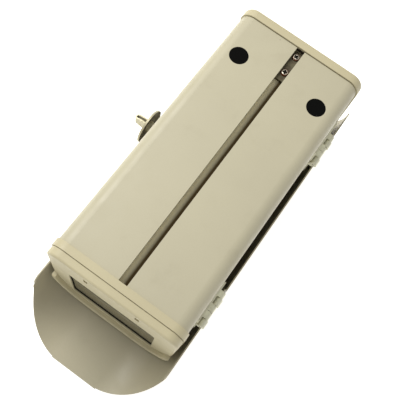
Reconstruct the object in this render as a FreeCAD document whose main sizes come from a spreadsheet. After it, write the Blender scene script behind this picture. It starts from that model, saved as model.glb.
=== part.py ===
import FreeCAD, Part
import math
import os
import re

import Sketcher

# Weatherproof camera housing, lying upside down on its sun shield.
#
# Frame: +Z up, -Y towards the window, +X towards the hinges.  The origin is on the floor under the
# middle of the body.  The mounting face with its channel is uppermost, at height body_top.
#
# The cover (with the sun shield) lies on the floor.  The base, which carries both end caps, the
# window, the channel and the camera sled, is hinged to it along +X and latched along -X.

# ---------------------------------------------------------------------------------------------
# Driving dimensions, millimetres
# ---------------------------------------------------------------------------------------------
DIMENSIONS = {
    # body section
    "body_half": 70.0,              # half the body's width
    "body_end": 147.0,              # from the middle to either end cap
    "body_top": 132.0,              # mounting face above the floor
    "top_corner_r": 13.0,
    "crown_height": 10.0,           # cover's crown above the floor
    "arch_r": 42.0,                 # bend between the cover's sides and its crown
    "wall": 3.0,
    "parting_height": 82.0,
    "parting_gap": 0.3,             # seal face to the base's lower edge
    "seal_depth": 1.5,
    "cover_end_gap": 0.3,           # cover's ends to the gaskets
    # mounting channel
    "channel_half": 4.5,
    "channel_lip": 3.0,
    "cavity_half": 8.5,
    "cavity_depth": 6.0,
    "channel_boss_half": 12.0,
    "channel_boss_floor": 2.5,
    # cable entries
    "entry_x": 45.8,
    "entry_y": 101.0,
    "entry_r": 9.9,
    "plug_clearance": 0.1,
    "plug_flange_r": 11.3,
    "plug_flange_depth": 2.5,
    "plug_sink": 0.3,
    # rails that carry the camera sled
    "rail_inner": 31.0,
    "rail_wall": 3.0,
    "rail_lip": 3.5,
    "rail_lip_depth": 2.6,
    "sled_top": 111.0,
    "sled_thickness": 3.0,
    "sled_play": 0.4,
    "sled_half_length": 95.0,
    "sled_slot_half": 60.0,
    "sled_slot_r": 3.4,
    "sled_pad_depth": 2.0,
    "sled_pad_margin": 10.0,        # pad past either end of the slot
    # end screw bosses of the base
    "boss_r": 4.5,
    "boss_x": 63.0,
    "boss_upper": 119.0,
    "boss_lower": 91.0,
    "end_hole_r": 1.9,
    "end_hole_depth": 22.0,
    # fasteners
    "screw_play": 0.05,             # shank inside its thread
    "hole_clearance": 0.2,          # plain holes, beyond the thread's radius
    "cap_head_r": 3.6,
    "cap_head_depth": 2.6,
    "cap_bore_r": 4.2,
    "cap_bore_depth": 3.0,
    "bezel_screw_x": 59.0,
    "bezel_screw_upper": 105.0,
    "bezel_screw_lower": 66.0,
    "bezel_screw_length": 9.0,
    "bezel_thread_depth": 6.0,
    "bezel_head_r": 3.2,
    "bezel_head_depth": 2.4,
    "bezel_bore_r": 3.6,
    "shield_nut_r": 3.9,
    "shield_nut_depth": 3.2,
    "camera_screw_length": 13.0,
    "camera_head_r": 7.5,
    "camera_head_depth": 5.0,
    # front collar and bezel
    "cap_proud": 1.5,
    "collar_depth": 7.5,
    "bezel_depth": 9.0,
    "bezel_proud": 0.5,
    "bezel_edge_r": 2.5,
    "shadow_gap": 0.5,
    "shadow_inset": 0.8,
    "brow_reach": 5.0,
    "brow_thickness": 4.5,
    "brow_top": 50.0,
    "brow_edge_r": 1.8,
    "brow_inset": 0.4,              # brow's outside, inside the bezel's own outline
    "window_half": 48.0,
    "window_bottom": 22.0,
    "window_top": 96.0,
    "window_corner_r": 3.0,
    "window_lip": 1.2,              # bezel left standing in front of the seal
    "window_seal_face": 0.8,        # rubber in front of the glass
    "window_seal_edge": 1.5,        # rubber round the glass's edge
    "window_seat_corner_r": 6.0,
    "glass_margin": 2.4,
    "glass_play": 0.3,
    "glass_thickness": 4.5,
    "notch_x": 27.5,
    "notch_half": 2.2,
    "notch_top": 127.5,
    "notch_bottom": 117.5,
    "notch_depth": 1.6,
    # rear cap
    "rear_cap_depth": 11.0,
    "rear_edge_r": 4.0,
    "rear_hollow_depth": 7.0,
    "rear_rim": 12.0,
    "gasket_depth": 0.6,
    "gasket_inset": 1.2,
    "gasket_width": 3.4,
    # sun shield
    "shield_half": 78.0,
    "shield_top": 60.0,
    "shield_sheet": 1.4,
    "shield_bend_r": 50.0,
    "shield_rear": 167.0,
    "shield_arc_x": 17.0,
    "shield_arc_y": -163.5,
    "shield_arc_r": 64.0,
    "shield_tip_half": 27.0,
    "shield_corner_r": 7.0,
    "shield_flank_r": 9.5,          # where the sides' upper edges turn down to the front arc
    "shield_flank_y": -184.0,
    "spacer_x": 18.0,
    "spacer_y": 105.0,
    "spacer_r": 6.0,
    # hinges
    "hinge_x": 75.9,
    "hinge_front_y": -108.0,
    "hinge_rear_y": 95.5,
    "hinge_half_length": 21.5,
    "knuckle_r": 2.6,
    "knuckle_large_r": 3.7,
    "knuckle_gap": 0.4,
    "pin_r": 1.2,
    "pin_clearance": 0.05,
    "leaf_thickness": 2.0,
    "leaf_start": 5.0,
    "leaf_height": 18.0,
    "leaf_screw_pitch": 14.0,
    "leaf_hole_r": 1.55,
    "leaf_sink_r": 3.55,
    "leaf_head_r": 3.3,
    "leaf_head_depth": 1.9,
    # latch
    "latch_y": 0.0,
    "latch_height": 94.0,
    "latch_disc_r": 18.5,
    "latch_disc_outer": 81.0,
    "latch_disc_sheet": 1.6,
    "latch_flat_r": 10.9,
    "latch_dish": 1.6,              # rim turned towards the body
    "latch_rim_sheet": 2.0,
    "latch_hub_r": 6.0,
    "latch_hub_gap": 1.5,
    "latch_hole_r": 5.5,
    "bush_flange_r": 8.0,
    "bush_flange_depth": 1.2,
    "bush_barrel_r": 5.45,
    "wing_outer": 95.0,
    "wing_half_gap": 1.3,
    "wing_sheet": 1.5,
    "wing_half_width": 7.0,
    "wing_tip_half_width": 4.2,
    "wing_bend_play": 0.1,          # flat left between the two bends of the fold
    "wing_foot_margin": 2.0,
    "wing_foot_sheet": 1.0,
    "spindle_r": 4.0,
    "bore_clearance": 0.05,
    "cam_inner_r": 20.5,
    "cam_outer_r": 24.0,
    "cam_plane": 61.0,
    "cam_thickness": 2.5,
    "cam_hub_r": 7.0,
    "cam_arm_half": 3.5,
    "cam_hook_half": 4.5,
    "cam_hook_depth": 5.0,
    "stud_r": 2.5,
    "stud_length": 5.0,
    "latch_nut_r": 5.0,
    "latch_nut_depth": 3.0,
    "keeper_half_length": 9.5,
    "keeper_slot_half": 6.3,
    "keeper_sheet": 2.0,
    "keeper_low": 54.0,
    "keeper_foot_top": 67.0,
    "keeper_top": 77.0,
    # channel slider
    "slider_y": 126.3,
    "slider_half_length": 19.1,
    "slider_half": 8.0,
    "slider_thickness": 3.0,
    "slider_play": 0.3,
    "slider_screw_y": 128.2,          # midway between the slider's two screws
    "slider_screw_pitch": 22.0,
    "slider_head_r": 3.9,
    "slider_head_depth": 2.2,
    # earth terminal
    "earth_x": 50.0,
    "earth_y": 50.0,
    "earth_boss_r": 6.0,
    "earth_boss_depth": 7.0,
    "earth_head_r": 3.6,
    "earth_head_depth": 2.4,
}

# Cross recess of a screw, as shares of its head's radius and depth.
CROSS_REACH, CROSS_HALF, CROSS_DEPTH = 0.55, 0.11, 0.55

# Lengths along a hinge, rear to front, and the leaf whose knuckle fills each one.
KNUCKLES = [("none", 3.5), ("base", 7.2), ("cover", 8.0), ("base", 8.0), ("base", 8.0), ("cover", 8.3)]

doc = FreeCAD.newDocument("camera_housing")
sheet = doc.addObject("Spreadsheet::Sheet", "Dims")
for row, (alias, length) in enumerate(DIMENSIONS.items(), start=1):
    sheet.set("A%d" % row, alias)
    sheet.set("B%d" % row, str(length))
    sheet.setAlias("B%d" % row, alias)
doc.recompute()

nodes = []


# ---------------------------------------------------------------------------------------------
# Small helpers
# ---------------------------------------------------------------------------------------------
def ex(text):
    """An expression in the sheet's aliases, such as 'body_half - wall'."""
    def qualify(match):
        word = match.group(0)
        return "Dims." + word if word in DIMENSIONS else word
    return re.sub(r"[a-z_][a-z0-9_]*", qualify, str(text))


def node(label, obj):
    """Register a finished sub-part under its own label."""
    obj.Label = label
    nodes.append((label, obj))
    return obj


def plane(body, role):
    return next(f for f in body.Origin.OriginFeatures if f.Role == role)


def new_body(label):
    return node(label, doc.addObject("PartDesign::Body", label))


def new_sketch(body, role, name, offset="0", up="0"):
    """Sketch on one of the body's origin planes, moved along its normal and its local y."""
    sketch = body.newObject("Sketcher::SketchObject", name)
    sketch.AttachmentSupport = [(plane(body, role), "")]
    sketch.MapMode = "FlatFace"
    sketch.setExpression("AttachmentOffset.Base.z", ex(offset))
    sketch.setExpression("AttachmentOffset.Base.y", ex(up))
    return sketch


def bind(sketch, constraint, expression):
    index = sketch.addConstraint(constraint)
    sketch.setExpression("Constraints[%d]" % index, ex(expression))


def value(text):
    """Present size of a sheet expression, used only to draw a sketch near its final shape."""
    return float(sheet.evalExpression(ex(text)))


def polygon(sketch, corners):
    """Closed straight outline whose corner coordinates are sheet expressions."""
    count = len(corners)
    first = sketch.GeometryCount
    points = [FreeCAD.Vector(value(across), value(along), 0) for across, along in corners]
    for i in range(count):
        sketch.addGeometry(Part.LineSegment(points[i], points[(i + 1) % count]))
    for i, (across, along) in enumerate(corners):
        following = (i + 1) % count
        sketch.addConstraint(Sketcher.Constraint("Coincident", first + i, 2, first + following, 1))
        bind(sketch, Sketcher.Constraint("DistanceX", -1, 1, first + i, 1, points[i].x), across)
        bind(sketch, Sketcher.Constraint("DistanceY", -1, 1, first + i, 1, points[i].y), along)


def rounded(sketch, corners):
    """Closed outline of level and upright sides; a corner is (across, along) or (across, along, radius)."""
    count = len(corners)
    points = [FreeCAD.Vector(value(c[0]), value(c[1]), 0) for c in corners]
    radii = [value(c[2]) if len(c) == 3 else 0.0 for c in corners]
    ways = [(points[(i + 1) % count] - points[i]).normalize() for i in range(count)]
    lines = []
    for i in range(count):
        start = points[i] + ways[i] * radii[i]
        end = points[(i + 1) % count] - ways[i] * radii[(i + 1) % count]
        line = sketch.addGeometry(Part.LineSegment(start, end))
        lines.append(line)
        if abs(ways[i].x) > 0.5:
            sketch.addConstraint(Sketcher.Constraint("Horizontal", line))
            bind(sketch, Sketcher.Constraint("DistanceY", -1, 1, line, 1, points[i].y), corners[i][1])
        else:
            sketch.addConstraint(Sketcher.Constraint("Vertical", line))
            bind(sketch, Sketcher.Constraint("DistanceX", -1, 1, line, 1, points[i].x), corners[i][0])
    for i in range(count):
        before, after = ways[i - 1], ways[i]
        if radii[i] == 0:
            sketch.addConstraint(Sketcher.Constraint("Coincident", lines[i - 1], 2, lines[i], 1))
            continue
        centre = points[i] - before * radii[i] + after * radii[i]
        bulge = centre + (before - after).normalize() * radii[i]
        arc = sketch.addGeometry(Part.Arc(points[i] - before * radii[i], bulge,
                                          points[i] + after * radii[i]))
        leftward = before.cross(after).z > 0
        sketch.addConstraint(Sketcher.Constraint("Tangent", lines[i - 1], 2, arc, 1 if leftward else 2))
        sketch.addConstraint(Sketcher.Constraint("Tangent", arc, 2 if leftward else 1, lines[i], 1))
        bind(sketch, Sketcher.Constraint("Radius", arc, radii[i]), corners[i][2])


def rectangle(sketch, left, right, low, high, radius=None):
    corners = [(left, low), (right, low), (right, high), (left, high)]
    rounded(sketch, [corner + (radius,) if radius else corner for corner in corners])


def d_outline(sketch, half, low, high, upper_r, lower_r):
    """The body's end outline: small upper and large lower bends."""
    left = "-(%s)" % half
    rounded(sketch, [(left, low, lower_r), (half, low, lower_r), (half, high, upper_r),
                     (left, high, upper_r)])


def u_outline(sketch, half, sheet_depth, open_at, closed_at, inner_at, bend_r):
    """A folded sheet's section: two upright sides and a closed side joined by two bends."""
    inner = "(%s) - (%s)" % (half, sheet_depth)
    inner_r = "(%s) - (%s)" % (bend_r, sheet_depth)
    right = [(half, open_at), (half, closed_at, bend_r)]
    left = [("-(%s)" % half, closed_at, bend_r), ("-(%s)" % half, open_at)]
    inside = [("-(%s)" % inner, open_at), ("-(%s)" % inner, inner_at, inner_r),
              (inner, inner_at, inner_r), (inner, open_at)]
    rounded(sketch, right + left + inside)


def arch_outline(sketch, half, low, bend_r, thickness, ends_at):
    """A band along an upturned arch: a level middle and two bends cut off level partway up."""
    low_now = value(low)
    radius_now = value(bend_r)
    centre_x = value(half) - radius_now
    centre_z = low_now + radius_now
    ends_now = value(ends_at)
    sides = []
    for radius in (radius_now, radius_now - value(thickness)):
        out = math.sqrt(radius ** 2 - (centre_z - ends_now) ** 2)
        diagonal = radius / math.sqrt(2)
        level = sketch.addGeometry(Part.LineSegment(FreeCAD.Vector(-centre_x, centre_z - radius, 0),
                                                    FreeCAD.Vector(centre_x, centre_z - radius, 0)))
        bends = []
        for side in (-1, 1):
            bend = Part.Arc(FreeCAD.Vector(side * centre_x, centre_z - radius, 0),
                            FreeCAD.Vector(side * (centre_x + diagonal), centre_z - diagonal, 0),
                            FreeCAD.Vector(side * (centre_x + out), ends_now, 0))
            bends.append(sketch.addGeometry(bend))
        sides.append((level, bends, out))
    inner_r = "(%s) - (%s)" % (bend_r, thickness)
    for (level, bends, _), radius in zip(sides, (bend_r, inner_r)):
        sketch.addConstraint(Sketcher.Constraint("Tangent", level, 1, bends[0], 2))
        sketch.addConstraint(Sketcher.Constraint("Tangent", level, 2, bends[1], 1))
        bind(sketch, Sketcher.Constraint("Radius", bends[0], value(radius)), radius)
        bind(sketch, Sketcher.Constraint("Radius", bends[1], value(radius)), radius)
    for number, side in enumerate((-1, 1)):
        outer_end = FreeCAD.Vector(side * (centre_x + sides[0][2]), ends_now, 0)
        inner_end = FreeCAD.Vector(side * (centre_x + sides[1][2]), ends_now, 0)
        end = sketch.addGeometry(Part.LineSegment(outer_end, inner_end))
        tip = 1 if side < 0 else 2
        sketch.addConstraint(Sketcher.Constraint("Horizontal", end))
        sketch.addConstraint(Sketcher.Constraint("Coincident", end, 1, sides[0][1][number], tip))
        sketch.addConstraint(Sketcher.Constraint("Coincident", end, 2, sides[1][1][number], tip))
        bind(sketch, Sketcher.Constraint("DistanceY", -1, 1, end, 1, ends_now), ends_at)
        flat = "(%s) - (%s)" % (half, bend_r)
        sign = "-" if side < 0 else ""
        bind(sketch, Sketcher.Constraint("DistanceX", -1, 1, sides[0][1][number], 3, side * centre_x),
             sign + "(" + flat + ")")
        sketch.addConstraint(Sketcher.Constraint("Coincident", sides[1][1][number], 3,
                                                 sides[0][1][number], 3))
    bind(sketch, Sketcher.Constraint("DistanceY", -1, 1, sides[0][0], 1, low_now), low)
    sketch.addConstraint(Sketcher.Constraint("Horizontal", sides[0][0]))


def circle(sketch, across, along, radius):
    place_now = FreeCAD.Vector(value(across), value(along), 0)
    index = sketch.addGeometry(Part.Circle(place_now, FreeCAD.Vector(0, 0, 1), value(radius)))
    bind(sketch, Sketcher.Constraint("DistanceX", -1, 1, index, 3, place_now.x), across)
    bind(sketch, Sketcher.Constraint("DistanceY", -1, 1, index, 3, place_now.y), along)
    bind(sketch, Sketcher.Constraint("Radius", index, value(radius)), radius)


def extrude(body, kind, sketch, name, length, centred=False, reverse=False):
    """Pad or Pocket of a sketch; the solid's volume has to change."""
    before = body.Tip.Shape.Volume if body.Tip and body.Tip != sketch else 0.0
    feature = body.newObject("PartDesign::" + kind, name)
    feature.Profile = sketch
    if centred:
        feature.Midplane = True
    feature.Reversed = reverse
    feature.setExpression("Length", ex(length))
    sketch.Visibility = False
    doc.recompute()
    change = feature.Shape.Volume - before
    if abs(change) < 1e-3 or (change < 0) != (kind == "Pocket"):
        raise RuntimeError("%s of %s changed the volume by %.4f" % (kind, name, change))
    return feature


def pad(body, sketch, name, length, centred=False, reverse=False):
    return extrude(body, "Pad", sketch, name, length, centred, reverse)


def pocket(body, sketch, name, length, centred=False, reverse=False):
    return extrude(body, "Pocket", sketch, name, length, centred, reverse)


def edges_along(shape, direction, test):
    """Names of the straight edges along a direction whose mid-point passes a test."""
    found = []
    for index, edge in enumerate(shape.Edges, start=1):
        if edge.Curve.TypeId != "Part::GeomLine":
            continue
        tangent = edge.tangentAt(edge.FirstParameter)
        middle = edge.valueAt((edge.FirstParameter + edge.LastParameter) / 2)
        if abs(abs(tangent.dot(direction)) - 1) < 1e-6 and test(middle):
            found.append("Edge%d" % index)
    return found


def dress(body, kind, name, amount, edge_names):
    """Fillet or Chamfer of some of the body's edges."""
    if not edge_names:
        raise RuntimeError("no edges for " + name)
    base = body.Tip
    feature = body.newObject("PartDesign::" + kind, name)
    feature.Base = (base, edge_names)
    feature.setExpression("Radius" if kind == "Fillet" else "Size", ex(amount))
    doc.recompute()
    return feature


def fillet(body, name, radius, edge_names):
    return dress(body, "Fillet", name, radius, edge_names)


X, Y, Z = FreeCAD.Vector(1, 0, 0), FreeCAD.Vector(0, 1, 0), FreeCAD.Vector(0, 0, 1)


def place(obj, x="0", y="0", z="0", rotation=None):
    if rotation:
        obj.Placement = FreeCAD.Placement(FreeCAD.Vector(), rotation)
    for letter, text in (("x", x), ("y", y), ("z", z)):
        obj.setExpression("Placement.Base." + letter, ex(text))
    return obj


def box(name, x0, x1, y0, y1, z0, z1):
    """Part::Box between two expression-bound corners."""
    solid = doc.addObject("Part::Box", name)
    solid.setExpression("Length", ex("(%s) - (%s)" % (x1, x0)))
    solid.setExpression("Width", ex("(%s) - (%s)" % (y1, y0)))
    solid.setExpression("Height", ex("(%s) - (%s)" % (z1, z0)))
    return place(solid, x0, y0, z0)


def rod(name, radius, length, x="0", y="0", z="0", along=Z):
    solid = doc.addObject("Part::Cylinder", name)
    solid.setExpression("Radius", ex(radius))
    solid.setExpression("Height", ex(length))
    return place(solid, x, y, z, FreeCAD.Rotation(Z, along))


def fuse(name, shapes):
    joined = doc.addObject("Part::MultiFuse", name)
    joined.Shapes = shapes
    return joined


def cut(name, base, tool):
    remains = doc.addObject("Part::Cut", name)
    remains.Base = base
    remains.Tool = tool
    return remains


def group(label, members):
    bundle = doc.addObject("Part::Compound", label)
    bundle.Links = members
    return node(label, bundle)


def screw(name, spot, along, shank_r, length, head_r, head_depth, sunk=False):
    """One screw pointing along a direction, its head behind the spot, with a cross recess."""
    shank = rod(name + "_shank", shank_r, length)
    if sunk:
        head = doc.addObject("Part::Cone", name + "_head")
        head.setExpression("Radius1", ex(head_r))
        head.setExpression("Radius2", ex(shank_r))
        head.setExpression("Height", ex(head_depth))
    else:
        head = rod(name + "_head", head_r, head_depth)
    place(head, z="-(%s)" % head_depth)
    recess_r = "%g * (%s)" % (CROSS_REACH, head_r)
    blade = "%g * (%s)" % (CROSS_HALF, head_r)
    recess_top = "%g * (%s)" % (CROSS_DEPTH - 1, head_depth)
    recess_bottom = "-(%s) - 1" % head_depth
    arms = fuse(name + "_recess", [
        box(name + "_arm_a", "-" + recess_r, recess_r, "-" + blade, blade, recess_bottom, recess_top),
        box(name + "_arm_b", "-" + blade, blade, "-" + recess_r, recess_r, recess_bottom, recess_top)])
    whole = fuse(name + "_blank", [shank, head])
    done = cut(name, whole, arms)
    return place(done, *spot, rotation=FreeCAD.Rotation(Z, along))


def d_section(body, name, inset, front, depth):
    """Prism of the end outline, inset from the body's own outline, from y = front backwards."""
    sketch = new_sketch(body, "XZ_Plane", name + "_outline", offset="-(%s)" % front)
    d_inset(sketch, inset)
    return pad(body, sketch, name, depth, reverse=True)


def d_inset(sketch, inset):
    """The body's end outline moved inwards all round; a negative inset stands proud."""
    d_outline(sketch, "body_half - (%s)" % inset, "crown_height + (%s)" % inset, "body_top - (%s)" % inset,
              "top_corner_r - (%s)" % inset, "arch_r - (%s)" % inset)


# ---------------------------------------------------------------------------------------------
# Base: the extruded half with the mounting channel
# ---------------------------------------------------------------------------------------------
CORNER_BOSSES = [(side + "boss_x", height) for side in ("", "-") for height in ("boss_upper", "boss_lower")]
HINGES = [("front", "hinge_front_y"), ("rear", "hinge_rear_y")]
SIDES = [("left", "-"), ("right", "")]


def leaf_screw_spots(height):
    """Where the screws of both hinges sit on the right-hand wall, as (y, z)."""
    return [("%s + %d * leaf_screw_pitch" % (middle, step), height)
            for _, middle in HINGES for step in (-1, 0, 1)]


def wall_holes(body, name, spots, radius):
    """Round holes through the right-hand wall at (y, z) spots."""
    holes = new_sketch(body, "YZ_Plane", name + "_sketch", offset="body_half + 1")
    for along, up in spots:
        circle(holes, along, up, radius)
    pocket(body, holes, name, "wall + 3")


def base_shell():
    body = new_body("base_shell")
    outline = new_sketch(body, "XZ_Plane", "base_outline", offset="body_end")
    u_outline(outline, "body_half", "wall", "parting_height + parting_gap", "body_top", "body_top - wall",
              "top_corner_r")
    length = "2 * body_end - gasket_depth"
    pad(body, outline, "base_skin", length, reverse=True)

    boss = new_sketch(body, "XZ_Plane", "channel_boss_sketch", offset="body_end")
    rectangle(boss, "-channel_boss_half", "channel_boss_half",
              "body_top - channel_lip - cavity_depth - channel_boss_floor", "body_top - wall / 2")
    pad(body, boss, "channel_boss", length, reverse=True)

    rail_foot = "sled_top - sled_thickness - sled_play - rail_lip_depth"
    for side, sign in SIDES:
        rail = new_sketch(body, "XZ_Plane", side + "_rail_sketch", offset="body_end")
        inner, lip, outer = (sign + "(%s)" % text for text in
                             ("rail_inner", "rail_inner - rail_lip", "rail_inner + rail_wall"))
        rounded(rail, [(lip, rail_foot), (outer, rail_foot), (outer, "body_top - wall / 2"),
                       (inner, "body_top - wall / 2"), (inner, "(%s) + rail_lip_depth" % rail_foot),
                       (lip, "(%s) + rail_lip_depth" % rail_foot)])
        pad(body, rail, side + "_rail", length, reverse=True)

    for end, offset, reverse in (("front", "body_end", True), ("rear", "gasket_depth - body_end", False)):
        bosses = new_sketch(body, "XZ_Plane", end + "_boss_sketch", offset=offset)
        for across, up in CORNER_BOSSES:
            circle(bosses, across, up, "boss_r")
        pad(body, bosses, end + "_bosses", "end_hole_depth + 4", reverse=reverse)
        holes = new_sketch(body, "XZ_Plane", end + "_hole_sketch", offset=offset)
        for across, up in CORNER_BOSSES:
            circle(holes, across, up, "end_hole_r")
        pocket(body, holes, end + "_screw_holes", "end_hole_depth", reverse=not reverse)

    earth = new_sketch(body, "XY_Plane", "earth_boss_sketch", offset="body_top - wall / 2")
    circle(earth, "earth_x", "earth_y", "earth_boss_r")
    pad(body, earth, "earth_boss", "earth_boss_depth", reverse=True)
    earth_hole = new_sketch(body, "XY_Plane", "earth_hole_sketch",
                            offset="body_top - wall / 2 - earth_boss_depth")
    circle(earth_hole, "earth_x", "earth_y", "end_hole_r")
    pocket(body, earth_hole, "earth_hole", "earth_boss_depth", reverse=True)

    neck = new_sketch(body, "XZ_Plane", "channel_neck_sketch", offset="body_end")
    rectangle(neck, "-channel_half", "channel_half", "body_top - channel_lip - 1", "body_top + 1")
    pocket(body, neck, "channel_neck", length)
    cavity = new_sketch(body, "XZ_Plane", "channel_cavity_sketch", offset="body_end")
    rectangle(cavity, "-cavity_half", "cavity_half", "body_top - channel_lip - cavity_depth",
              "body_top - channel_lip")
    pocket(body, cavity, "channel_cavity", length)

    entries = new_sketch(body, "XY_Plane", "entry_sketch", offset="body_top + 1")
    for _, sign in SIDES:
        circle(entries, sign + "entry_x", "entry_y", "entry_r")
    pocket(body, entries, "cable_entries", "wall + 3")

    wall_holes(body, "leaf_screw_holes", leaf_screw_spots("parting_height + leaf_start + leaf_height / 2"),
               "leaf_hole_r")
    latch_hole = new_sketch(body, "YZ_Plane", "latch_hole_sketch", offset="-body_half - 1")
    circle(latch_hole, "latch_y", "latch_height", "latch_hole_r")
    pocket(body, latch_hole, "latch_hole", "wall + 3", reverse=True)


def cable_plugs():
    """Rubber blanking plugs, flush outside and flanged inside."""
    for side, sign in SIDES:
        disc = rod(side + "_plug_disc", "entry_r - plug_clearance", "wall - plug_sink",
                   sign + "entry_x", "entry_y", "body_top - wall")
        flange = rod(side + "_plug_flange", "plug_flange_r", "plug_flange_depth",
                     sign + "entry_x", "entry_y", "body_top - wall - plug_flange_depth")
        node("cable_plug_" + side, fuse(side + "_plug", [disc, flange]))


def earth_screw():
    spot = ("earth_x", "earth_y", "body_top - wall / 2 - earth_boss_depth")
    node("earth_screw", screw("earth_screw", spot, Z, "end_hole_r - screw_play", "earth_boss_depth - 1",
                              "earth_head_r", "earth_head_depth"))


# ---------------------------------------------------------------------------------------------
# Front end: collar, bezel with its brow, window
# ---------------------------------------------------------------------------------------------
BEZEL_SCREWS = [(side + "bezel_screw_x", height) for side in ("", "-")
                for height in ("bezel_screw_upper", "bezel_screw_lower")]


def gasket_ring(body, name, offset):
    """Sketch of the ring that the end gaskets fill, just inside the body's outline."""
    ring = new_sketch(body, "XZ_Plane", name, offset=offset)
    d_inset(ring, "gasket_inset")
    d_inset(ring, "gasket_inset + gasket_width")
    return ring


def end_holes(body, name, offset, spots, radius, depth, reverse=False):
    holes = new_sketch(body, "XZ_Plane", name + "_sketch", offset=offset)
    for across, up in spots:
        circle(holes, across, up, radius)
    pocket(body, holes, name, depth, reverse=reverse)


def front_collar():
    body = new_body("front_collar")
    d_section(body, "collar_plate", "-cap_proud", "-body_end - collar_depth", "collar_depth")
    light = new_sketch(body, "XZ_Plane", "collar_window_sketch", offset="body_end + collar_depth")
    rectangle(light, "-window_half - 1", "window_half + 1", "window_bottom - 1", "window_top + 1",
              "window_corner_r")
    pocket(body, light, "collar_window", "collar_depth")
    pocket(body, gasket_ring(body, "collar_recess_sketch", "body_end"), "gasket_recess", "gasket_depth",
           reverse=True)
    end_holes(body, "collar_screw_holes", "body_end + collar_depth", CORNER_BOSSES,
              "end_hole_r + hole_clearance", "collar_depth")
    end_holes(body, "collar_counterbores", "body_end + collar_depth", CORNER_BOSSES, "cap_bore_r",
              "cap_bore_depth")
    end_holes(body, "bezel_screw_holes", "body_end + collar_depth", BEZEL_SCREWS,
              "end_hole_r + hole_clearance", "collar_depth")
    end_holes(body, "bezel_counterbores", "body_end", BEZEL_SCREWS, "bezel_bore_r", "cap_bore_depth",
              reverse=True)


def front_bezel():
    body = new_body("front_bezel")
    back = "-body_end - collar_depth"
    d_section(body, "bezel_spigot", "shadow_inset - bezel_proud", back + " - shadow_gap - 1",
              "shadow_gap + 1")
    d_section(body, "bezel_plate", "-bezel_proud", back + " - bezel_depth", "bezel_depth - shadow_gap")
    face = "body_end + collar_depth + bezel_depth"
    front_edges = [("Edge%d" % i) for i, edge in enumerate(body.Tip.Shape.Edges, start=1)
                   if abs(edge.BoundBox.YMax + value(face)) < 1e-6]
    fillet(body, "bezel_front_round", "bezel_edge_r", front_edges)

    brow = new_sketch(body, "XZ_Plane", "brow_sketch", offset=face + " + brow_reach")
    brow_low = "crown_height - bezel_proud + brow_inset"
    arch_outline(brow, "body_half + bezel_proud - brow_inset", brow_low, "arch_r + bezel_proud - brow_inset",
                 "brow_thickness", "brow_top")
    pad(body, brow, "brow", "brow_reach + bezel_edge_r + 1", reverse=True)
    brow_face = value(face + " + brow_reach")
    brow_edges = [("Edge%d" % i) for i, edge in enumerate(body.Tip.Shape.Edges, start=1)
                  if abs(edge.BoundBox.YMax + brow_face) < 1e-6]
    fillet(body, "brow_round", "brow_edge_r", brow_edges)

    light = new_sketch(body, "XZ_Plane", "bezel_window_sketch", offset=face)
    rectangle(light, "-window_half", "window_half", "window_bottom", "window_top", "window_corner_r")
    pocket(body, light, "bezel_window", "bezel_depth")
    seat = new_sketch(body, "XZ_Plane", "glass_seat_sketch", offset="body_end + collar_depth")
    round_window(seat, "glass_margin + window_seal_edge + 2 * glass_play", "window_seat_corner_r")
    pocket(body, seat, "glass_seat", "bezel_depth - window_lip", reverse=True)
    notches = new_sketch(body, "XZ_Plane", "notch_sketch", offset=face)
    for _, sign in SIDES:
        middle = sign + "notch_x"
        rectangle(notches, middle + " - notch_half", middle + " + notch_half", "notch_bottom", "notch_top")
    pocket(body, notches, "notches", "notch_depth")
    end_holes(body, "bezel_thread_holes", "body_end + collar_depth", BEZEL_SCREWS, "end_hole_r",
              "bezel_thread_depth", reverse=True)


def round_window(sketch, margin, corner_r):
    """Outline a margin outside the window opening."""
    rectangle(sketch, "-window_half - (%s)" % margin, "window_half + %s" % margin,
              "window_bottom - (%s)" % margin, "window_top + %s" % margin, corner_r)


def window():
    """Glass pane held in the groove of a rubber frame, which the collar presses against the bezel's lip."""
    front = "body_end + collar_depth + bezel_depth - window_lip"
    pane_front = front + " - window_seal_face"
    pane = new_body("window_glass")
    pane_sketch = new_sketch(pane, "XZ_Plane", "pane_sketch", offset=pane_front)
    round_window(pane_sketch, "glass_margin", "window_corner_r")
    pad(pane, pane_sketch, "pane", "glass_thickness", reverse=True)
    seal = new_body("window_seal")
    frame = new_sketch(seal, "XZ_Plane", "seal_frame_sketch", offset=front)
    round_window(frame, "glass_margin + window_seal_edge + glass_play",
                 "window_seat_corner_r - glass_play")
    round_window(frame, "0", "window_corner_r")
    pad(seal, frame, "seal_frame", "bezel_depth - window_lip", reverse=True)
    groove = new_sketch(seal, "XZ_Plane", "seal_groove_sketch", offset=pane_front)
    round_window(groove, "glass_margin + glass_play", "window_corner_r + glass_play")
    pocket(seal, groove, "seal_groove", "glass_thickness")


# ---------------------------------------------------------------------------------------------
# Rear end
# ---------------------------------------------------------------------------------------------
def rear_cap():
    body = new_body("rear_cap")
    d_section(body, "rear_plate", "-cap_proud", "body_end", "rear_cap_depth")
    rear_edges = [("Edge%d" % i) for i, edge in enumerate(body.Tip.Shape.Edges, start=1)
                  if abs(edge.BoundBox.YMin - value("body_end + rear_cap_depth")) < 1e-6]
    fillet(body, "rear_round", "rear_edge_r", rear_edges)
    hollow = new_sketch(body, "XZ_Plane", "rear_hollow_sketch", offset="-body_end")
    d_inset(hollow, "rear_rim")
    pocket(body, hollow, "rear_hollow", "rear_hollow_depth")
    end_holes(body, "rear_screw_holes", "-body_end", CORNER_BOSSES, "end_hole_r + hole_clearance",
              "rear_cap_depth")
    end_holes(body, "rear_counterbores", "-body_end - rear_cap_depth", CORNER_BOSSES, "cap_bore_r",
              "cap_bore_depth", reverse=True)


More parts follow.
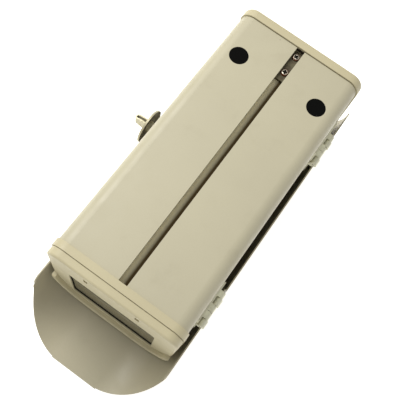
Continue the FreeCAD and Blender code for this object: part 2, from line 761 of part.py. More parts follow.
def end_gaskets():
    front = new_body("front_gasket")
    pad(front, gasket_ring(front, "front_gasket_sketch", "body_end"), "front_ring", "gasket_depth")
    rear = new_body("rear_gasket")
    pad(rear, gasket_ring(rear, "rear_gasket_sketch", "-body_end"), "rear_ring", "gasket_depth")


def end_screws():
    """Screws that hold the collar and rear cap to the base, and the bezel to the collar."""
    thread_r = "end_hole_r - screw_play"
    group("collar_screws", [
        screw("collar_screw%d" % i, (x, "-body_end - collar_depth + cap_bore_depth", z), Y, thread_r,
              "end_hole_depth", "cap_head_r", "cap_head_depth")
        for i, (x, z) in enumerate(CORNER_BOSSES)])
    group("rear_cap_screws", [
        screw("rear_screw%d" % i, (x, "body_end + rear_cap_depth - cap_bore_depth", z), -Y, thread_r,
              "end_hole_depth + 4", "cap_head_r", "cap_head_depth")
        for i, (x, z) in enumerate(CORNER_BOSSES)])
    group("bezel_screws", [
        screw("bezel_screw%d" % i, (x, "-body_end - cap_bore_depth", z), -Y, thread_r,
              "bezel_screw_length", "bezel_head_r", "bezel_head_depth")
        for i, (x, z) in enumerate(BEZEL_SCREWS)])


# ---------------------------------------------------------------------------------------------
# Cover and sun shield
# ---------------------------------------------------------------------------------------------
SHIELD_FIXINGS = [(side + "spacer_x", end + "spacer_y") for side in ("", "-") for end in ("", "-")]


def cover_shell():
    body = new_body("cover_shell")
    outline = new_sketch(body, "XZ_Plane", "cover_outline", offset="body_end - cover_end_gap")
    u_outline(outline, "body_half", "wall", "parting_height - seal_depth", "crown_height",
              "crown_height + wall", "arch_r")
    pad(body, outline, "cover_skin", "2 * (body_end - cover_end_gap) - gasket_depth", reverse=True)
    holes = new_sketch(body, "XY_Plane", "shield_hole_sketch", offset="crown_height + wall + 1")
    for across, along in SHIELD_FIXINGS:
        circle(holes, across, along, "end_hole_r + hole_clearance")
    pocket(body, holes, "shield_screw_holes", "wall + 2")
    wall_holes(body, "leaf_screw_holes", leaf_screw_spots("parting_height - leaf_start - leaf_height / 2"),
               "leaf_hole_r")


def cover_seals():
    """Strip seals along the cover's two upper edges."""
    strips = [box(side + "_seal_strip", sign + "body_half" if sign else "body_half - wall + 0.3",
                  "-body_half + wall - 0.3" if sign else "body_half",
                  "-body_end + cover_end_gap", "body_end - gasket_depth - cover_end_gap",
                  "parting_height - seal_depth", "parting_height") for side, sign in SIDES]
    group("cover_seal", strips)


def sun_shield():
    body = new_body("sun_shield")
    front = "shield_arc_y - shield_arc_r"
    outline = new_sketch(body, "XZ_Plane", "shield_outline", offset="-(%s)" % front)
    u_outline(outline, "shield_half", "shield_sheet", "shield_top", "0", "shield_sheet", "shield_bend_r")
    pad(body, outline, "shield_sheet_metal", "shield_rear - (%s)" % front, reverse=True)
    corners = edges_along(body.Tip.Shape, X, lambda p: p.z > value("shield_top") - 1e-6)
    fillet(body, "shield_corners", "shield_corner_r", corners)
    for side, sign in SIDES:
        trim = new_sketch(body, "XY_Plane", side + "_trim_sketch", offset="-1")
        front_trim(trim, -1 if sign else 1)
        pocket(body, trim, side + "_trim", "shield_top + 2", reverse=True)
    flank = new_sketch(body, "YZ_Plane", "flank_sketch", offset="shield_half + 1")
    far, low, above = "shield_arc_y - shield_arc_r - 2", "shield_top - shield_flank_r - 0.5", "shield_top + 2"
    rounded(flank, [(far, low), ("shield_flank_y", low), ("shield_flank_y", "shield_top", "shield_flank_r"),
                    ("shield_flank_y + shield_flank_r + 1", "shield_top"),
                    ("shield_flank_y + shield_flank_r + 1", above), (far, above)])
    pocket(body, flank, "flank_rounds", "2 * shield_half + 2")
    holes = new_sketch(body, "XY_Plane", "fixing_hole_sketch", offset="-1")
    for across, along in SHIELD_FIXINGS:
        circle(holes, across, along, "end_hole_r + hole_clearance")
    pocket(body, holes, "fixing_holes", "shield_sheet + 2", reverse=True)
    rims = ["Edge%d" % i for i, edge in enumerate(body.Tip.Shape.Edges, start=1)
            if edge.Curve.TypeId == "Part::GeomCircle" and edge.Curve.Radius < value("cap_head_r")
            and edge.BoundBox.ZMax < 1e-6]
    dress(body, "Chamfer", "countersinks", "shield_sheet - 0.2", rims)


def front_trim(sketch, side):
    """Waste outside one front corner of the shield; the sheet keeps an arc and a flat tip.

    side is 1 on the hinge side and -1 on the latch side.
    """
    centre = FreeCAD.Vector(side * value("shield_arc_x"), value("shield_arc_y"), 0)
    reach = value("shield_arc_r")
    outer = centre.x + side * reach
    across_tip = side * value("shield_tip_half") - centre.x
    tip = centre + FreeCAD.Vector(across_tip, -math.sqrt(reach ** 2 - across_tip ** 2), 0)
    flank = FreeCAD.Vector(outer, centre.y, 0)
    depth = centre.y - reach - 2
    points = [tip, FreeCAD.Vector(tip.x, depth, 0), FreeCAD.Vector(outer, depth, 0), flank]
    lines = [sketch.addGeometry(Part.LineSegment(a, b)) for a, b in zip(points, points[1:])]
    half_way = math.radians(-90 + side * 45)
    bulge = centre + FreeCAD.Vector(math.cos(half_way), math.sin(half_way), 0) * reach
    arc = sketch.addGeometry(Part.Arc(tip, bulge, flank))
    tip_end, flank_end = (1, 2) if side > 0 else (2, 1)
    for before, after in zip(lines, lines[1:]):
        sketch.addConstraint(Sketcher.Constraint("Coincident", before, 2, after, 1))
    sketch.addConstraint(Sketcher.Constraint("Coincident", lines[0], 1, arc, tip_end))
    sketch.addConstraint(Sketcher.Constraint("Coincident", lines[2], 2, arc, flank_end))
    sketch.addConstraint(Sketcher.Constraint("Vertical", lines[0]))
    sketch.addConstraint(Sketcher.Constraint("Horizontal", lines[1]))
    sketch.addConstraint(Sketcher.Constraint("Vertical", lines[2]))
    sign = "" if side > 0 else "-"
    bind(sketch, Sketcher.Constraint("DistanceX", -1, 1, arc, 3, centre.x), sign + "shield_arc_x")
    bind(sketch, Sketcher.Constraint("DistanceY", -1, 1, arc, 3, centre.y), "shield_arc_y")
    bind(sketch, Sketcher.Constraint("Radius", arc, reach), "shield_arc_r")
    bind(sketch, Sketcher.Constraint("DistanceX", -1, 1, lines[0], 1, tip.x), sign + "shield_tip_half")
    bind(sketch, Sketcher.Constraint("DistanceY", -1, 1, lines[2], 2, centre.y), "shield_arc_y")
    bind(sketch, Sketcher.Constraint("DistanceY", -1, 1, lines[1], 1, depth),
         "shield_arc_y - shield_arc_r - 2")


def shield_fixings():
    """Spacer, countersunk screw and nut at each of the shield's four fixings."""
    spacers, screws, nuts = [], [], []
    for i, (x, y) in enumerate(SHIELD_FIXINGS):
        sleeve = rod("spacer%d_body" % i, "spacer_r", "crown_height - shield_sheet", x, y, "shield_sheet")
        bore = rod("spacer%d_bore" % i, "end_hole_r + hole_clearance", "crown_height", x, y,
                   "shield_sheet - 1")
        spacers.append(cut("spacer%d" % i, sleeve, bore))
        screws.append(screw("shield_screw%d" % i, (x, y, "shield_sheet - 0.1"), Z, "end_hole_r",
                            "crown_height + wall + shield_nut_depth - 0.7",
                            "end_hole_r + shield_sheet - 0.2", "shield_sheet - 0.2", sunk=True))
        nuts.append(nut("shield_nut%d" % i, "shield_nut_r", "shield_nut_depth", "end_hole_r + screw_play",
                        (x, y, "crown_height + wall"), Z))
    group("shield_spacers", spacers)
    group("shield_screws", screws)
    group("shield_nuts", nuts)


def nut(name, corner_r, depth, bore_r, spot, along):
    blank = doc.addObject("Part::Prism", name + "_hexagon")
    blank.Polygon = 6
    blank.setExpression("Circumradius", ex(corner_r))
    blank.setExpression("Height", ex(depth))
    bore = rod(name + "_bore", bore_r, "(%s) + 2" % depth, z="-1")
    return place(cut(name, blank, bore), *spot, rotation=FreeCAD.Rotation(Z, along))


# ---------------------------------------------------------------------------------------------
# Hinges
# ---------------------------------------------------------------------------------------------
def knuckle_spans(middle, owner):
    """The (front y, rear y) expressions of one leaf's knuckles."""
    spans, travelled = [], 0.0
    for name, length in KNUCKLES:
        if name == owner:
            rear = "%s + hinge_half_length - %g - knuckle_gap / 2" % (middle, travelled)
            spans.append(("%s - %g + knuckle_gap" % (rear, length), rear))
        travelled += length
    return spans


def hinge_leaf(place_name, middle, owner):
    label = "hinge_leaf_%s_%s" % (owner, place_name)
    up = 1 if owner == "base" else -1
    radius = "knuckle_r" if owner == "base" else "knuckle_large_r"
    near = "parting_height + %d * leaf_start" % up
    far = "parting_height + %d * (leaf_start + leaf_height)" % up
    low, high = (near, far) if up > 0 else (far, near)
    solids = [box(label + "_plate", "body_half", "body_half + leaf_thickness",
                  middle + " - hinge_half_length", middle + " + hinge_half_length", low, high)]
    for i, (front, rear) in enumerate(knuckle_spans(middle, owner)):
        web = ("parting_height", near) if up > 0 else (near, "parting_height")
        solids.append(rod("%s_knuckle%d" % (label, i), radius, "(%s) - (%s)" % (rear, front),
                          "hinge_x", front, "parting_height", along=Y))
        solids.append(box("%s_web%d" % (label, i), "body_half + parting_gap", "hinge_x", front, rear, *web))
    holes = [rod(label + "_pin_hole", "pin_r + pin_clearance", "2 * hinge_half_length + 2",
                 "hinge_x", middle + " - hinge_half_length - 1", "parting_height", along=Y)]
    height = "parting_height + %d * (leaf_start + leaf_height / 2)" % up
    for step in (-1, 0, 1):
        along = "%s + %d * leaf_screw_pitch" % (middle, step)
        holes.append(rod("%s_hole%d" % (label, step + 1), "leaf_hole_r", "leaf_thickness + 2",
                         "body_half - 1", along, height, along=X))
        sink = doc.addObject("Part::Cone", "%s_sink%d" % (label, step + 1))
        sink.setExpression("Radius1", ex("leaf_hole_r"))
        sink.setExpression("Radius2", ex("leaf_sink_r"))
        sink.setExpression("Height", ex("leaf_thickness"))
        holes.append(place(sink, "body_half", along, height, FreeCAD.Rotation(Z, X)))
    node(label, cut(label, fuse(label + "_blank", solids), fuse(label + "_holes", holes)))


def hinges():
    for place_name, middle in HINGES:
        for owner in ("base", "cover"):
            hinge_leaf(place_name, middle, owner)
        pin = rod("pin_" + place_name, "pin_r", "2 * hinge_half_length - knuckle_gap",
                  "hinge_x", middle + " - hinge_half_length + knuckle_gap / 2", "parting_height", along=Y)
        node("hinge_pin_" + place_name, pin)
    for owner, up in (("base", 1), ("cover", -1)):
        height = "parting_height + %d * (leaf_start + leaf_height / 2)" % up
        group("hinge_screws_" + owner, [
            screw("%s_leaf_screw%d" % (owner, i), ("body_half", y, z), -X, "leaf_hole_r - 2 * screw_play",
                  "wall + hole_clearance", "leaf_head_r", "leaf_head_depth", sunk=True)
            for i, (y, z) in enumerate(leaf_screw_spots(height))])


# ---------------------------------------------------------------------------------------------
# Latch: wing handle on a disc outside, hooked cam inside
# ---------------------------------------------------------------------------------------------
def axle(name, radius, length, start):
    """Round piece on the latch's axis, from x = start towards the middle."""
    return rod(name, radius, length, start, "latch_y", "latch_height", along=X)


def latch_bush():
    flange = axle("bush_flange", "bush_flange_r", "bush_flange_depth", "-body_half - bush_flange_depth")
    barrel = axle("bush_barrel", "bush_barrel_r", "body_half - cam_plane - 0.3", "-body_half")
    bore = axle("bush_bore", "spindle_r + bore_clearance", "body_half", "-body_half - 5")
    node("latch_bush", cut("bush", fuse("bush_blank", [flange, barrel]), bore))


def latch_disc():
    """Pressed disc on a hub, its rim dished towards the body."""
    body = new_body("latch_disc")
    profile = new_sketch(body, "XZ_Plane", "disc_profile", offset="-latch_y", up="latch_height")
    outer = "-latch_disc_outer"
    under = outer + " + latch_disc_sheet"
    hub_end = "-body_half - latch_hub_gap"
    polygon(profile, [(hub_end, "spindle_r"), (hub_end, "latch_hub_r"), (under, "latch_hub_r"),
                      (under, "latch_flat_r"), (under + " + latch_dish", "latch_disc_r"),
                      (under + " + latch_dish - latch_rim_sheet", "latch_disc_r"),
                      (outer, "latch_flat_r + latch_dish / 4"), (outer, "spindle_r")])
    turned = body.newObject("PartDesign::Revolution", "disc")
    turned.Profile = profile
    turned.ReferenceAxis = (profile, ["H_Axis"])
    turned.Angle = 360
    doc.recompute()


def latch_wing():
    """Handle folded from strip: two cheeks joined by a round outer end, on a foot riveted to the disc."""
    body = new_body("latch_wing")
    root = "-latch_disc_outer"
    half = "wing_half_gap + wing_sheet"
    fold = new_sketch(body, "XY_Plane", "wing_fold", offset="latch_height")
    near, far = "latch_y - (%s)" % half, "latch_y + %s" % half
    slit_near, slit_far = "latch_y - wing_half_gap", "latch_y + wing_half_gap"
    inner = "-wing_outer + wing_sheet"
    bend, inner_bend = half + " - wing_bend_play", "wing_half_gap - wing_bend_play"
    rounded(fold, [("-wing_outer", near, bend), (root, near), (root, slit_near),
                   (inner, slit_near, inner_bend), (inner, slit_far, inner_bend),
                   (root, slit_far), (root, far), ("-wing_outer", far, bend)])
    pad(body, fold, "wing_strip", "2 * wing_half_width", centred=True)
    foot = new_sketch(body, "YZ_Plane", "wing_foot_sketch", offset=root, up="latch_height")
    rectangle(foot, near + " - wing_foot_margin", far + " + wing_foot_margin", "-wing_half_width",
              "wing_half_width", "wing_foot_margin")
    pad(body, foot, "wing_foot", "wing_foot_sheet", reverse=True)
    taper = new_sketch(body, "XZ_Plane", "wing_taper_sketch", up="latch_height")
    for up in ("", "-"):
        polygon(taper, [("-wing_outer - 1", up + "wing_tip_half_width"),
                        ("-wing_outer - 1", up + "(wing_half_width + 1)"),
                        (root + " - 2 * wing_foot_sheet", up + "(wing_half_width + 1)")])
    pocket(body, taper, "wing_taper", "2 * latch_disc_r", centred=True)


def latch_inside():
    """Spindle, hooked cam and nut; at rest the cam lies level, clear of the keeper."""
    shaft = axle("spindle_shaft", "spindle_r", "latch_disc_outer - cam_plane + cam_thickness",
                 "-latch_disc_outer")
    stud = axle("spindle_stud", "stud_r", "stud_length", "-cam_plane + cam_thickness")
    node("latch_spindle", fuse("spindle", [shaft, stud]))
    hub = axle("cam_hub", "cam_hub_r", "cam_thickness", "-cam_plane")
    arm = box("cam_arm", "-cam_plane", "-cam_plane + cam_thickness", "latch_y", "latch_y + cam_outer_r - 1",
              "latch_height - cam_arm_half", "latch_height + cam_arm_half")
    rim = axle("cam_rim", "cam_outer_r", "cam_thickness + cam_hook_depth", "-cam_plane - cam_hook_depth")
    rim_core = axle("cam_rim_core", "cam_inner_r", "cam_thickness + cam_hook_depth + 2",
                    "-cam_plane - cam_hook_depth - 1")
    sector = box("cam_sector", "-cam_plane - cam_hook_depth", "-cam_plane + cam_thickness", "latch_y",
                 "latch_y + cam_outer_r + 1", "latch_height - cam_hook_half", "latch_height + cam_hook_half")
    hook = doc.addObject("Part::MultiCommon", "cam_hook")
    hook.Shapes = [cut("cam_ring", rim, rim_core), sector]
    bore = axle("cam_bore", "spindle_r", "cam_thickness + 2", "-cam_plane - 1")
    node("latch_cam", cut("cam", fuse("cam_blank", [hub, arm, hook]), bore))
    node("latch_nut", nut("spindle_nut", "latch_nut_r", "latch_nut_depth", "stud_r",
                          ("-cam_plane + cam_thickness", "latch_y", "latch_height"), X))


def latch_keeper():
    """Bracket on the cover's inner wall whose lip the cam's hook passes under."""
    wall_x = "-body_half + wall"
    front, rear = "latch_y - keeper_half_length", "latch_y + keeper_half_length"
    foot = box("keeper_foot", wall_x, wall_x + " + keeper_sheet", front, rear, "keeper_low",
               "keeper_foot_top")
    arm = box("keeper_arm", wall_x, "-cam_plane - 1", front, "latch_y - keeper_slot_half", "keeper_low",
              "keeper_top")
    lip = box("keeper_lip", wall_x, "-cam_plane - 1", front, "latch_y + keeper_slot_half / 2",
              "keeper_top - keeper_sheet", "keeper_top")
    node("latch_keeper", fuse("keeper", [foot, arm, lip]))


# ---------------------------------------------------------------------------------------------
# Camera sled and channel slider
# ---------------------------------------------------------------------------------------------
def camera_sled():
    half = "rail_inner - 0.5"
    low = "sled_top - sled_thickness"
    for label, depth, across, along, top in (
            ("camera_sled", "sled_thickness", half, "sled_half_length", "sled_top"),
            ("sled_pad", "sled_pad_depth", "rail_inner - 2 * rail_lip", "sled_slot_half + sled_pad_margin",
             low)):
        body = new_body(label)
        plate = new_sketch(body, "XY_Plane", label + "_sketch", offset=top)
        rectangle(plate, "-(%s)" % across, across, "-(%s)" % along, along, "3")
        rectangle(plate, "-sled_slot_r", "sled_slot_r", "-sled_slot_half", "sled_slot_half",
                  "sled_slot_r - 0.1")
        pad(body, plate, label + "_plate", depth, reverse=True)
    node("camera_screw", screw("camera_screw", ("0", "0", "sled_top"), -Z, "sled_slot_r - 0.3",
                               "camera_screw_length", "camera_head_r", "camera_head_depth"))


def channel_slider():
    body = new_body("channel_slider")
    top = "body_top - channel_lip - cavity_depth + slider_play + slider_thickness"
    plate = new_sketch(body, "XY_Plane", "slider_sketch", offset=top)
    rectangle(plate, "-slider_half", "slider_half", "slider_y - slider_half_length",
              "slider_y + slider_half_length", "1.5")
    pad(body, plate, "slider_plate", "slider_thickness", reverse=True)
    threads = new_sketch(body, "XY_Plane", "slider_thread_sketch", offset=top)
    spots = ["slider_screw_y + %s * slider_screw_pitch" % half for half in ("0.5", "-0.5")]
    for along in spots:
        circle(threads, "0", along, "end_hole_r")
    pocket(body, threads, "slider_threads", "slider_thickness")
    group("slider_screws", [screw("slider_screw%d" % i, ("0", along, top), -Z, "end_hole_r - screw_play",
                                  "slider_thickness - 0.1", "slider_head_r", "slider_head_depth")
                            for i, along in enumerate(spots)])


# ---------------------------------------------------------------------------------------------
# Build, check, write
# ---------------------------------------------------------------------------------------------
base_shell()
cable_plugs()
earth_screw()
front_collar()
front_bezel()
window()
rear_cap()
end_gaskets()
end_screws()
cover_shell()
cover_seals()
sun_shield()
shield_fixings()
hinges()
latch_bush()
latch_disc()
latch_wing()
latch_inside()
latch_keeper()
camera_sled()
channel_slider()
doc.recompute()

for obj in doc.Objects:
    if "Invalid" in obj.State or "Error" in obj.State:
        raise RuntimeError("%s failed: %s" % (obj.Name, obj.State))
for label, obj in nodes:
    if obj.Shape.isNull() or not obj.Shape.isValid():
        raise RuntimeError(label + " has no valid shape")

os.makedirs("parts", exist_ok=True)
for label, obj in nodes:
    obj.Shape.exportStep("parts/%s.step" % label)
    print("%-28s solids %d  volume %.0f mm3" % (label, len(obj.Shape.Solids), obj.Shape.Volume))
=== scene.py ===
import math

import bmesh
import bpy
from mathutils import Matrix, Vector


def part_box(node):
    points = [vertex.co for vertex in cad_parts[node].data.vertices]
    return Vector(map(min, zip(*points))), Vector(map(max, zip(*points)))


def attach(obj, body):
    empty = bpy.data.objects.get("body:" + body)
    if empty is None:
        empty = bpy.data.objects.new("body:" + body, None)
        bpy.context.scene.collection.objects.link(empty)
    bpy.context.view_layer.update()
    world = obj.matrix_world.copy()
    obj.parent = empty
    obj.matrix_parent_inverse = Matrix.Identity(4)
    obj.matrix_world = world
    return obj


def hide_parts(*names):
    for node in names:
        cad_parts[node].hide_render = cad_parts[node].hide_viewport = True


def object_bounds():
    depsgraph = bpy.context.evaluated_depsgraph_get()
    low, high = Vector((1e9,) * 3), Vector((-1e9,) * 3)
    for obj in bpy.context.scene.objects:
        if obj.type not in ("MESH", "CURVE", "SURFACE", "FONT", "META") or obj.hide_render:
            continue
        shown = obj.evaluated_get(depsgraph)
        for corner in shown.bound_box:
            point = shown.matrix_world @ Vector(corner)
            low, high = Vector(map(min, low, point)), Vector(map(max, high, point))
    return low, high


# Camera housing lying upside down on its sun shield.
# Units are metres in the part's frame: +Z up, -Y towards the window, +X towards the hinges.

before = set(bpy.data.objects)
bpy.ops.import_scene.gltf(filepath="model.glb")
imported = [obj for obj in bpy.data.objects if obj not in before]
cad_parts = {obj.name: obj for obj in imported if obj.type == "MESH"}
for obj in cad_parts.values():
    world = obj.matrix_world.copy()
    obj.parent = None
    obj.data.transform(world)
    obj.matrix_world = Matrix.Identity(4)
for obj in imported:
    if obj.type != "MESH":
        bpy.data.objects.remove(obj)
cad_low, cad_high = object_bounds()
MM = 0.001
CHANNEL_LIP = 3.0 * MM
CAVITY_DEPTH = 6.0 * MM
CAVITY_HALF = 8.5 * MM
BODY_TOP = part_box("base_shell")[1].z
LIP_UNDERSIDE = BODY_TOP - CHANNEL_LIP
CAVITY_FLOOR = LIP_UNDERSIDE - CAVITY_DEPTH

# ---------------------------------------------------------------------------------------------
# Colours and node helpers
# ---------------------------------------------------------------------------------------------
def colour(red, green, blue):
    """8-bit display colour as linear RGBA."""
    def linear(level):
        share = level / 255
        return share / 12.92 if share <= 0.04045 else ((share + 0.055) / 1.055) ** 2.4
    return (linear(red), linear(green), linear(blue), 1.0)


class Finish:
    """A material's node tree, with short calls for the nodes used in this file."""

    def __init__(self, name):
        self.material = bpy.data.materials.new(name)
        self.material.use_nodes = True
        self.tree = self.material.node_tree
        self.shader = self.tree.nodes["Principled BSDF"]
        coordinates = self.add("ShaderNodeTexCoord")
        self.place = coordinates.outputs["Object"]
        self.facing = coordinates.outputs["Normal"]

    def add(self, kind, inputs=None, **settings):
        node = self.tree.nodes.new(kind)
        for key, setting in settings.items():
            setattr(node, key, setting)
        for socket, given in (inputs or {}).items():
            self.put(node.inputs[socket], given)
        return node

    def put(self, socket, given):
        if isinstance(given, bpy.types.NodeSocket):
            self.tree.links.new(given, socket)
        else:
            socket.default_value = given

    def set(self, **inputs):
        """Shader sockets by name, with _ for a space."""
        for name, given in inputs.items():
            self.put(self.shader.inputs[name.replace("_", " ")], given)

    def stretched(self, scale):
        """Object coordinates scaled along each axis, for brushed or streaky patterns."""
        return self.add("ShaderNodeMapping", {"Vector": self.place, "Scale": scale}).outputs[0]

    def noise(self, scale, detail=2.0, roughness=0.5, place=None):
        node = self.add("ShaderNodeTexNoise", {"Vector": place or self.place, "Scale": scale,
                                               "Detail": detail, "Roughness": roughness})
        return node.outputs["Fac"]

    def cells(self, scale, place=None):
        """Distance to the nearest point of a random scatter."""
        node = self.add("ShaderNodeTexVoronoi", {"Vector": place or self.place, "Scale": scale})
        return node.outputs["Distance"]

    def remap(self, given, low, high, to_low=0.0, to_high=1.0):
        node = self.add("ShaderNodeMapRange", {"Value": given, "From Min": low, "From Max": high,
                                               "To Min": to_low, "To Max": to_high},
                        interpolation_type="SMOOTHSTEP")
        return node.outputs["Result"]

    def math(self, operation, first, second=0.0):
        return self.add("ShaderNodeMath", {0: first, 1: second}, operation=operation).outputs[0]

    def mix(self, share, first, second):
        node = self.add("ShaderNodeMixRGB", {"Fac": share, "Color1": first, "Color2": second})
        return node.outputs["Color"]

    def both(self, *shares):
        """Product of several masks."""
        product = shares[0]
        for share in shares[1:]:
            product = self.math("MULTIPLY", product, share)
        return product

    def axes(self):
        return self.add("ShaderNodeSeparateXYZ", {"Vector": self.place}).outputs

    def soft_edges(self, radius):
        """Normals that turn smoothly over every sharp edge."""
        return self.add("ShaderNodeBevel", {"Radius": radius}, samples=6).outputs[0]

    def edge_mask(self, radius):
        """0 on flat stretches, rising towards 1 at sharp edges."""
        rounded = self.soft_edges(radius)
        true = self.add("ShaderNodeNewGeometry").outputs["Normal"]
        alike = self.add("ShaderNodeVectorMath", {0: rounded, 1: true}, operation="DOT_PRODUCT")
        return self.remap(alike.outputs["Value"], 0.995, 0.8)

    def bump(self, height, depth, strength=1.0, normal=None):
        inputs = {"Height": height, "Distance": depth, "Strength": strength}
        if normal is not None:
            inputs["Normal"] = normal
        return self.add("ShaderNodeBump", inputs).outputs[0]


# ---------------------------------------------------------------------------------------------
# Finishes
# ---------------------------------------------------------------------------------------------
SHADE_START, SHADE_END = -0.34, 0.2   # shares of the cavity's half width


def paint(name, base, dirt, grain_scale=900.0, grain_depth=0.06 * MM, gloss=0.42, channel=False):
    """Powder coat: fine orange peel, faint clouding, small dark specks, edges lighter from wear and painted
    highlight, and painted shade in the channel when asked.
    """
    look = Finish(name)
    cloud = look.noise(9.0, 3.0)
    smudge = look.remap(look.noise(34.0, 6.0, 0.62), 0.52, 0.8)
    grain = look.noise(grain_scale, 2.0, 0.6)
    speck = look.remap(look.cells(95.0), 0.055, 0.03)
    gate = look.remap(look.noise(21.0, 2.0), 0.6, 0.68)
    tone = look.mix(look.remap(cloud, 0.3, 0.7), base, dirt)
    tone = look.mix(look.both(smudge, 0.10), tone, colour(120, 108, 78))
    tone = look.mix(look.both(look.remap(grain, 0.35, 0.65), 0.05), tone, colour(150, 142, 112))
    tone = look.mix(look.both(speck, gate, 0.65), tone, colour(92, 74, 50))
    # Lighter sharp edges: partly worn paint, partly a painted highlight.
    wear_and_edge_highlight = look.both(look.edge_mask(0.6 * MM), look.remap(look.noise(160.0, 3.0), 0.35, 0.6), 0.35)
    tone = look.mix(wear_and_edge_highlight, tone, colour(236, 230, 208))
    # Painted shade inside the channel: light on the latch side, dark on the hinge side, with its reflections
    # damped.
    if channel:
        inside = channel_mask(look)
        tone = look.mix(inside, tone, painted_channel_shade(look))
        look.set(Specular_IOR_Level=look.remap(inside, 0.0, 1.0, 0.5, 0.04))
    rough = look.remap(look.noise(60.0, 4.0), 0.25, 0.75, gloss - 0.05, gloss + 0.09)
    normal = look.bump(grain, grain_depth, 0.55, look.soft_edges(0.45 * MM))
    look.set(Base_Color=tone, Roughness=rough, Normal=normal)
    return look.material


def channel_mask(look):
    """1 on the channel's inner faces, below its lips."""
    across, _, up = look.axes()
    within = look.remap(look.math("ABSOLUTE", across), CAVITY_HALF + 0.4 * MM, CAVITY_HALF + 0.1 * MM)
    below_lips = look.remap(up, LIP_UNDERSIDE + 0.5 * MM, LIP_UNDERSIDE)
    above_floor = look.remap(up, CAVITY_FLOOR - 0.6 * MM, CAVITY_FLOOR - 0.3 * MM)
    return look.both(within, below_lips, above_floor)


def painted_channel_shade(look):
    """Shade painted into the channel: light along its latch side, dark along its hinge side."""
    across, _, _ = look.axes()
    hinge_side = look.remap(across, SHADE_START * CAVITY_HALF, SHADE_END * CAVITY_HALF)
    return look.mix(hinge_side, colour(240, 232, 198), colour(70, 57, 32))


def rubber(name, base, worn_tone):
    """Matt moulded rubber, a little dusty."""
    look = Finish(name)
    dust = look.remap(look.noise(70.0, 5.0, 0.65), 0.5, 0.85)
    grain = look.noise(1500.0, 2.0)
    tone = look.mix(look.math("MULTIPLY", dust, 0.5), base, worn_tone)
    rough = look.remap(grain, 0.2, 0.8, 0.72, 0.9)
    look.set(Base_Color=tone, Roughness=rough, Specular_IOR_Level=0.08,
             Normal=look.bump(grain, 0.04 * MM, 0.5, look.soft_edges(0.4 * MM)))
    return look.material


def metal(name, base, tarnish, stain, roughness=0.34, streaks=(1.0, 1.0, 1.0), tarnish_share=0.5,
          stain_share=0.0, metallic=0.9, painted_inner_shade=False):
    """Plated, cast or milled metal with tarnish in patches and stain where damp sits, and optionally painted
    shade on faces turned towards +X.
    """
    look = Finish(name)
    patches = look.remap(look.noise(120.0, 5.0, 0.6), 0.38, 0.7)
    fine = look.noise(900.0, 3.0, 0.6, look.stretched(streaks))
    pits = look.remap(look.noise(420.0, 4.0, 0.7), 0.58, 0.72)
    tone = look.mix(look.math("MULTIPLY", patches, tarnish_share), base, tarnish)
    tone = look.mix(look.math("MULTIPLY", pits, stain_share), tone, stain)
    tone = look.mix(look.math("MULTIPLY", look.remap(fine, 0.3, 0.7), 0.12), tone, tarnish)
    rough = look.remap(fine, 0.25, 0.75, roughness - 0.08, roughness + 0.14)
    if painted_inner_shade:
        # Painted shade: faces turned towards +X, towards the body, are darkened.
        inward = look.add("ShaderNodeSeparateXYZ", {"Vector": look.facing}).outputs[0]
        tone = look.mix(look.both(look.remap(inward, 0.3, 0.6), 0.85), tone, colour(58, 49, 34))
    sheen = look.remap(patches, 0.0, 1.0, metallic, metallic - 0.2)
    look.set(Base_Color=tone, Metallic=sheen, Roughness=rough,
             Normal=look.bump(fine, 0.02 * MM, 0.4, look.soft_edges(0.25 * MM)))
    return look.material


def pane(name):
    """Window glass with a dusty film."""
    look = Finish(name)
    film = look.remap(look.noise(55.0, 5.0, 0.6), 0.3, 0.8)
    tone = look.mix(film, colour(134, 130, 107), colour(157, 150, 125))
    rough = look.remap(look.noise(240.0, 3.0), 0.3, 0.7, 0.04, 0.14)
    look.set(Base_Color=tone, Roughness=rough, IOR=1.5, Transmission_Weight=0.85)
    return look.material


def plastic(name, base, lighter):
    look = Finish(name)
    cloud = look.noise(120.0, 4.0)
    tone = look.mix(look.remap(cloud, 0.3, 0.8), base, lighter)
    look.set(Base_Color=tone, Roughness=look.remap(cloud, 0.2, 0.8, 0.45, 0.62),
             Normal=look.bump(look.noise(1300.0), 0.03 * MM, 0.4, look.soft_edges(0.3 * MM)))
    return look.material


def backdrop():
    look = Finish("floor_paper")
    tone = look.mix(look.remap(look.noise(3.0, 2.0), 0.3, 0.7), colour(250, 250, 249), colour(252, 252, 251))
    look.set(Base_Color=tone, Roughness=0.9, Specular_IOR_Level=0.1, Emission_Color=tone,
             Emission_Strength=0.62)
    return look.material


